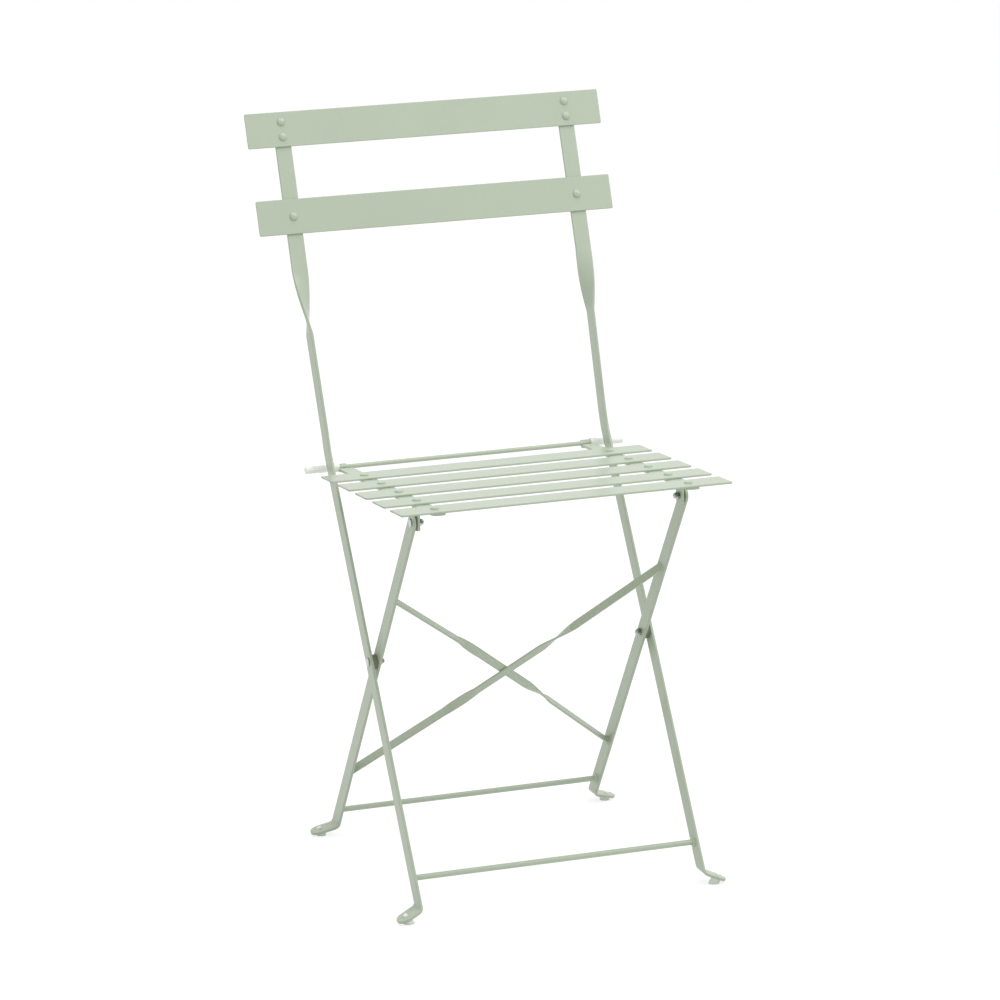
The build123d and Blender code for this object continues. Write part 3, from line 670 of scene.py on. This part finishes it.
def moulded_nylon(name, tint, shade, milkiness):
    """Injection-moulded nylon, with a soft low sheen and faint marks where the melt flowed.

    Natural nylon is milky and lets light pass a little way in. Carbon black lets in none.
    """
    material, tree = new_finish(name)
    place = add_node(tree, "ShaderNodeTexCoord").outputs["Object"]
    # Flow of the melt, about 6 mm across, and the mould's fine spark texture, drawn at 0.5 mm
    flow = add_node(tree, "ShaderNodeTexNoise", {"Scale": per_metre(6), "Detail": 3.0, "Distortion": 0.6},
                    {"Vector": place})
    spark = add_node(tree, "ShaderNodeTexNoise", {"Scale": per_metre(0.5), "Detail": 1.0},
                     {"Vector": place})
    colour = add_node(tree, "ShaderNodeMix", {"A": linear(tint), "B": linear(shade)},
                      {"Factor": flow.outputs["Fac"]}, data_type="RGBA")
    gloss = add_node(tree, "ShaderNodeMapRange", {"To Min": 0.38, "To Max": 0.5},
                     {"Value": flow.outputs["Fac"]})
    bump = add_node(tree, "ShaderNodeBump", {"Strength": 0.3, "Distance": 0.02 * MM},
                    {"Height": spark.outputs["Fac"]})
    shader = add_node(tree, "ShaderNodeBsdfPrincipled",
                      {"IOR": 1.53, "Subsurface Weight": milkiness, "Subsurface Radius": (1.0, 0.95, 0.85),
                       "Subsurface Scale": 1.5 * MM},
                      {"Base Color": colour.outputs["Result"], "Roughness": gloss.outputs["Result"],
                       "Normal": bump.outputs["Normal"]})
    add_node(tree, "ShaderNodeOutputMaterial", links={"Surface": shader.outputs["BSDF"]})
    return material


def bright_zinc_plate():
    """Bright zinc plated on cold-headed steel.

    It has a clear metal shine, with fine streaks and duller clouds. Its reflection is painted into the
    colour:
    the ends, which face along X, and the undersides are painted bright, and the sides are painted a dark
    olive grey, as if they mirrored the shaded green frame.
    """
    finish = bpy.context.scene.chair_finish
    material, tree = new_finish("bright_zinc_plate")
    coordinates = add_node(tree, "ShaderNodeTexCoord").outputs
    place = coordinates["Object"]
    # Clouds in the plating, about 3 mm across, and the header's fine streaks, drawn at 0.4 mm
    cloud = add_node(tree, "ShaderNodeTexNoise", {"Scale": per_metre(3), "Detail": 3.0}, {"Vector": place})
    streak = add_node(tree, "ShaderNodeTexNoise", {"Scale": per_metre(0.4), "Detail": 2.0},
                      {"Vector": place})
    tone = add_node(tree, "ShaderNodeMix", {"A": linear(finish.zinc), "B": linear(finish.zinc_dull)},
                    {"Factor": cloud.outputs["Fac"]}, data_type="RGBA")
    # Painted reflection: bright on the ends, which face along X, and on the undersides, dark on the sides
    facing = add_node(tree, "ShaderNodeSeparateXYZ", links={"Vector": coordinates["Normal"]})
    ends = add_node(tree, "ShaderNodeMath", links={0: facing.outputs["X"]}, operation="ABSOLUTE")
    ends_painted_bright = add_node(tree, "ShaderNodeMapRange", {"From Min": 0.35, "From Max": 0.9},
                       {"Value": ends.outputs[0]})
    undersides_painted_bright = add_node(tree, "ShaderNodeMapRange", {"From Min": -0.1, "From Max": -0.6},
                     {"Value": facing.outputs["Z"]})
    shine = add_node(tree, "ShaderNodeMath", operation="MAXIMUM",
                     links={0: ends_painted_bright.outputs["Result"], 1: undersides_painted_bright.outputs["Result"]})
    colour = add_node(tree, "ShaderNodeMix", {"A": linear(finish.zinc_painted_dark_reflection)},
                      {"Factor": shine.outputs[0], "B": tone.outputs["Result"]}, data_type="RGBA")
    gloss = add_node(tree, "ShaderNodeMapRange", {"To Min": 0.1, "To Max": 0.22},
                     {"Value": cloud.outputs["Fac"]})
    bump = add_node(tree, "ShaderNodeBump", {"Strength": 0.2, "Distance": 0.01 * MM},
                    {"Height": streak.outputs["Fac"]})
    shader = add_node(tree, "ShaderNodeBsdfPrincipled", {"Metallic": 1.0},
                      {"Base Color": colour.outputs["Result"], "Roughness": gloss.outputs["Result"],
                       "Normal": bump.outputs["Normal"]})
    add_node(tree, "ShaderNodeOutputMaterial", links={"Surface": shader.outputs["BSDF"]})
    return material


# Operators

class CHAIR_OT_long_bars(bpy.types.Operator):
    """Builds the two long bars, from the front feet to the top of the back"""
    bl_idname = "chair.long_bars"
    bl_label = "Long bars"

    def execute(self, context):
        shape = long_bar(context.scene.chair_sizes)
        for name, side in SIDES.items():
            add_piece(f"long_bar_{name}", [mirrored(shape, side)], baked_powder_coat(), "back_frame",
                      [f"{name}_long_bar"])
        return {"FINISHED"}


class CHAIR_OT_short_bars(bpy.types.Operator):
    """Builds the two short bars, from the rear feet to the seat's pivots"""
    bl_idname = "chair.short_bars"
    bl_label = "Short bars"

    def execute(self, context):
        shape = short_bar(context.scene.chair_sizes)
        for name, side in SIDES.items():
            add_piece(f"short_bar_{name}", [mirrored(shape, side)], baked_powder_coat(), "rear_leg_frame",
                      [f"{name}_short_bar"])
        return {"FINISHED"}


class CHAIR_OT_braces(bpy.types.Operator):
    """Builds the two twisted braces that cross between the short bars"""
    bl_idname = "chair.braces"
    bl_label = "Braces"

    def execute(self, context):
        sizes = context.scene.chair_sizes
        for name, upper_side, rise, facing in (("front", 1, sizes.front_brace_rise, 1),
                                               ("rear", -1, sizes.rear_brace_rise, -1)):
            add_piece(f"brace_{name}", [brace(upper_side, rise, facing, sizes)], baked_powder_coat(),
                      "rear_leg_frame", [f"{name}_brace"])
        return {"FINISHED"}


class CHAIR_OT_slats(bpy.types.Operator):
    """Builds the slats of the seat and of the back"""
    bl_idname = "chair.slats"
    bl_label = "Slats"

    def execute(self, context):
        sizes = context.scene.chair_sizes
        seat_up, back_up = lean_up(sizes.seat_tilt), -rear_of(lean_up(sizes.long_high_angle))
        rows = [(node, "seat", seat_up, sizes.seat_slat_width) for node in SEAT_SLATS]
        rows += [(node, "back_frame", back_up, sizes.back_slat_width)
                 for node in ("upper_back_slat", "lower_back_slat")]
        for node, body, up, width in rows:
            low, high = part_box(node)
            shape = slat(node_middle(node), up, width, high.x - low.x, sizes)
            add_piece(f"coated_{node}", [shape], baked_powder_coat(), body, [node])
        return {"FINISHED"}


class CHAIR_OT_rivets(bpy.types.Operator):
    """Builds the rivets that hold the slats, domed on the back and flatter on the seat"""
    bl_idname = "chair.rivets"
    bl_label = "Rivets"

    def execute(self, context):
        sizes = context.scene.chair_sizes
        half = sizes.slat_thickness / 2
        seat_up, back = lean_up(sizes.seat_tilt), lean_up(sizes.long_high_angle)
        front = -rear_of(back)
        upright = ACROSS * (sizes.long_bar_x + sizes.upright_shift)
        spread = back * sizes.rivet_spread / 2
        upper, lower = node_middle("upper_back_slat"), node_middle("lower_back_slat")
        seat = [rivet(node_middle(node) + seat_up * half + ACROSS * side * sizes.rail_x, seat_up,
                      sizes.seat_rivet_height, FLAT_HEAD, sizes.slat_thickness + sizes.rail_thickness, sizes)
                for node in SEAT_SLATS for side in SIDES.values()]
        rear = [rivet(middle + front * half + upright * side, front, sizes.back_rivet_height, DOME,
                      sizes.slat_thickness + sizes.bar_thickness, sizes)
                for middle in (upper + spread, upper - spread, lower) for side in SIDES.values()]
        for place, grids, body in (("seat", seat, "seat"), ("back", rear, "back_frame")):
            add_piece(f"rivets_{place}", [plain(grid) for grid in grids], baked_powder_coat(), body,
                      [f"{place}_rivets"])
        return {"FINISHED"}


class CHAIR_OT_welds(bpy.types.Operator):
    """Builds the weld beads at the ends of the stretchers and braces"""
    bl_idname = "chair.welds"
    bl_label = "Welds"

    def execute(self, context):
        sizes = context.scene.chair_sizes
        size, coat = sizes.weld_size, baked_powder_coat()
        up = lean_up(-sizes.short_angle)
        first, second = BACK * ROD_LOOP_RADIUS, np.cross(ACROSS, BACK) * ROD_LOOP_RADIUS
        for node, body in (("front_stretcher", "back_frame"), ("rear_stretcher", "rear_leg_frame")):
            low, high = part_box(node)
            middle = node_middle(node)
            ends = [low.x - middle[0], high.x - middle[0]]
            loops = [oval(middle + ACROSS * end, first, second, ROD_LOOP_POWER) for end in ends]
            shapes = [plain(bead(loop, ACROSS, size, ROD_RIPPLES, end)) for loop, end in zip(loops, ends)]
            add_piece(f"welds_{node}", shapes, coat, body, closed=True)
        shapes = []
        first = -rear_of(up) * (sizes.brace_width / 2 + BRACE_LOOP_MARGIN)
        for upper_side, rise in ((1, sizes.front_brace_rise), (-1, sizes.rear_brace_rise)):
            upper, axis, length = brace_line(upper_side, rise, sizes)
            for middle in (upper, upper + axis * length):
                loop = oval(middle, first, up * sizes.brace_thickness, BRACE_LOOP_POWER)
                shapes.append(plain(bead(loop, ACROSS, BRACE_BEAD_SHARE * size, BRACE_RIPPLES, middle[2])))
        add_piece("welds_braces", shapes, coat, "rear_leg_frame", closed=True)
        return {"FINISHED"}


class CHAIR_OT_rails_and_rods(bpy.types.Operator):
    """Coats the seat's rails, the rod behind it, and the stretchers"""
    bl_idname = "chair.rails_and_rods"
    bl_label = "Rails and rods"

    def execute(self, context):
        dress(baked_powder_coat(), "right_rail", "left_rail", "rear_rod", "front_stretcher",
              "rear_stretcher")
        return {"FINISHED"}


class CHAIR_OT_nylon(bpy.types.Operator):
    """Gives the sleeves, the glides and the spacers between the bars their nylon"""
    bl_idname = "chair.nylon"
    bl_label = "Sleeves, glides and spacers"

    def execute(self, context):
        glides = [f"{side}_{end}_glide" for side in SIDES for end in ("front", "rear")]
        finish = context.scene.chair_finish
        natural = moulded_nylon("moulded_natural_nylon", finish.nylon, finish.nylon_shade,
                                NATURAL_MILKINESS)
        # The spacers' colour is painted shade, the dark green-grey of the gap between the bars
        black = moulded_nylon("moulded_nylon_painted_gap_shade", finish.painted_gap_shade, finish.painted_gap_shade_flow, BLACK_MILKINESS)
        dress(natural, *[f"{side}_sleeve" for side in SIDES], *glides)
        dress(black, "crossing_spacers")
        return {"FINISHED"}


class CHAIR_OT_fasteners(bpy.types.Operator):
    """Plates the bolts, washers and cap nuts"""
    bl_idname = "chair.fasteners"
    bl_label = "Bolts, washers and nuts"

    def execute(self, context):
        dress(bright_zinc_plate(), "crossing_bolts", "crossing_cap_nuts", "seat_bolts", "seat_washers",
              "seat_cap_nuts")
        return {"FINISHED"}


class CHAIR_OT_stage(bpy.types.Operator):
    """Sets up the camera, the lamps, the pale floor and the white room"""
    bl_idname = "chair.stage"
    bl_label = "Studio"

    def execute(self, context):
        scene, studio = context.scene, context.scene.chair_studio
        scene.camera = self.camera(scene, studio)
        self.lamp(scene, "top_lamp", studio.top_place, studio.lamp_aim, studio.top_power, studio.top_size)
        self.lamp(scene, "key_lamp", studio.key_place, studio.lamp_aim, studio.key_power, studio.key_size)
        self.floor(scene)
        scene.world = self.room(studio)
        scene.view_settings.view_transform = "Standard"
        return {"FINISHED"}

    def camera(self, scene, studio):
        """The camera that stands where the photograph's camera stood."""
        lens = bpy.data.cameras.new("photo_camera")
        lens.sensor_width, lens.lens = SENSOR_WIDTH, studio.lens
        lens.shift_x, lens.shift_y = studio.camera_shift
        lens.clip_end = FAR_CLIP
        camera = bpy.data.objects.new("photo_camera", lens)
        camera.location, camera.rotation_euler = studio.camera_place, studio.camera_turn
        scene.collection.objects.link(camera)
        return camera

    def lamp(self, scene, name, place, aim, power, size):
        """A round lamp that points from its place at the aim."""
        lamp = bpy.data.lights.new(name, "AREA")
        lamp.energy, lamp.size, lamp.shape = power, size, "DISK"
        stand = bpy.data.objects.new(name, lamp)
        stand.location = place
        stand.rotation_euler = (Vector(aim) - Vector(place)).to_track_quat("-Z", "Y").to_euler()
        scene.collection.objects.link(stand)

    def floor(self, scene):
        """One large level square under the feet."""
        mesh = bpy.data.meshes.new("studio_floor")
        corners = [(x * FLOOR_HALF, y * FLOOR_HALF, 0) for x, y in ((-1, -1), (1, -1), (1, 1), (-1, 1))]
        mesh.from_pydata(corners, [], [(0, 1, 2, 3)])
        mesh.materials.append(self.floor_finish(scene))
        floor = bpy.data.objects.new("studio_floor", mesh)
        scene.collection.objects.link(floor)
        return floor

    def seen(self, tree):
        """Output that is one for the camera and for reflections, and zero for the light on the object."""
        path = add_node(tree, "ShaderNodeLightPath").outputs
        first = add_node(tree, "ShaderNodeMath", operation="MAXIMUM",
                         links={0: path["Is Camera Ray"], 1: path["Is Glossy Ray"]})
        return add_node(tree, "ShaderNodeMath", operation="MAXIMUM",
                        links={0: first.outputs[0], 1: path["Is Transmission Ray"]}).outputs[0]

    def floor_finish(self, scene):
        """Pale matt floor that keeps the chair's shadow and otherwise looks white."""
        studio = scene.chair_studio
        material, tree = new_finish("pale_matt_floor")
        matt = add_node(tree, "ShaderNodeBsdfDiffuse", {"Color": linear(scene.chair_finish.floor)})
        veil = add_node(tree, "ShaderNodeBsdfDiffuse", {"Color": (*[studio.floor_veil] * 3, 1.0)})
        white = add_node(tree, "ShaderNodeEmission", {"Strength": studio.floor_glow})
        shown = add_node(tree, "ShaderNodeAddShader", links={0: veil.outputs[0], 1: white.outputs[0]})
        both = add_node(tree, "ShaderNodeMixShader",
                        links={0: self.seen(tree), 1: matt.outputs[0], 2: shown.outputs[0]})
        add_node(tree, "ShaderNodeOutputMaterial", links={"Surface": both.outputs[0]})
        return material

    def room(self, studio):
        """White room: soft light from all round, and plain white where the camera sees it."""
        world = bpy.data.worlds.new("white_room")
        world.use_nodes = True
        tree = world.node_tree
        tree.nodes.clear()
        light = add_node(tree, "ShaderNodeBackground", {"Strength": studio.room_light, "Color": WHITE})
        white = add_node(tree, "ShaderNodeBackground", {"Strength": 1.0, "Color": WHITE})
        both = add_node(tree, "ShaderNodeMixShader",
                        links={0: self.seen(tree), 1: light.outputs[0], 2: white.outputs[0]})
        add_node(tree, "ShaderNodeOutputWorld", links={"Surface": both.outputs[0]})
        return world


OPERATORS = (CHAIR_OT_stage, CHAIR_OT_long_bars, CHAIR_OT_short_bars, CHAIR_OT_braces, CHAIR_OT_slats,
             CHAIR_OT_rivets, CHAIR_OT_welds, CHAIR_OT_rails_and_rods, CHAIR_OT_nylon, CHAIR_OT_fasteners)


class CHAIR_PT_sidebar(bpy.types.Panel):
    """Lists the chair's pieces and its studio"""
    bl_idname = "CHAIR_PT_sidebar"
    bl_label = "Folding chair"
    bl_space_type = "VIEW_3D"
    bl_region_type = "UI"
    bl_category = "Chair"

    def draw(self, context):
        for operator in OPERATORS:
            self.layout.operator(operator.bl_idname)
        for group in (context.scene.chair_sizes, context.scene.chair_finish, context.scene.chair_studio):
            box = self.layout.box()
            for name in group.bl_rna.properties.keys():
                if name not in ("rna_type", "name"):
                    box.prop(group, name)


GROUPS = {"chair_sizes": ChairSizes, "chair_finish": ChairFinish, "chair_studio": ChairStudio}


def register():
    """Registers the classes and puts the groups on the scene."""
    for kind in (*GROUPS.values(), *OPERATORS, CHAIR_PT_sidebar):
        bpy.utils.register_class(kind)
    for name, group in GROUPS.items():
        setattr(bpy.types.Scene, name, PointerProperty(type=group))


def unregister():
    """Takes the groups off the scene and the classes out."""
    for name in GROUPS:
        delattr(bpy.types.Scene, name)
    for kind in reversed((*GROUPS.values(), *OPERATORS, CHAIR_PT_sidebar)):
        bpy.utils.unregister_class(kind)


def main():
    """Builds everything in order."""
    register()
    for operator in OPERATORS:
        group, name = operator.bl_idname.split(".")
        getattr(getattr(bpy.ops, group), name)()


if __name__ == "__main__":
    main()
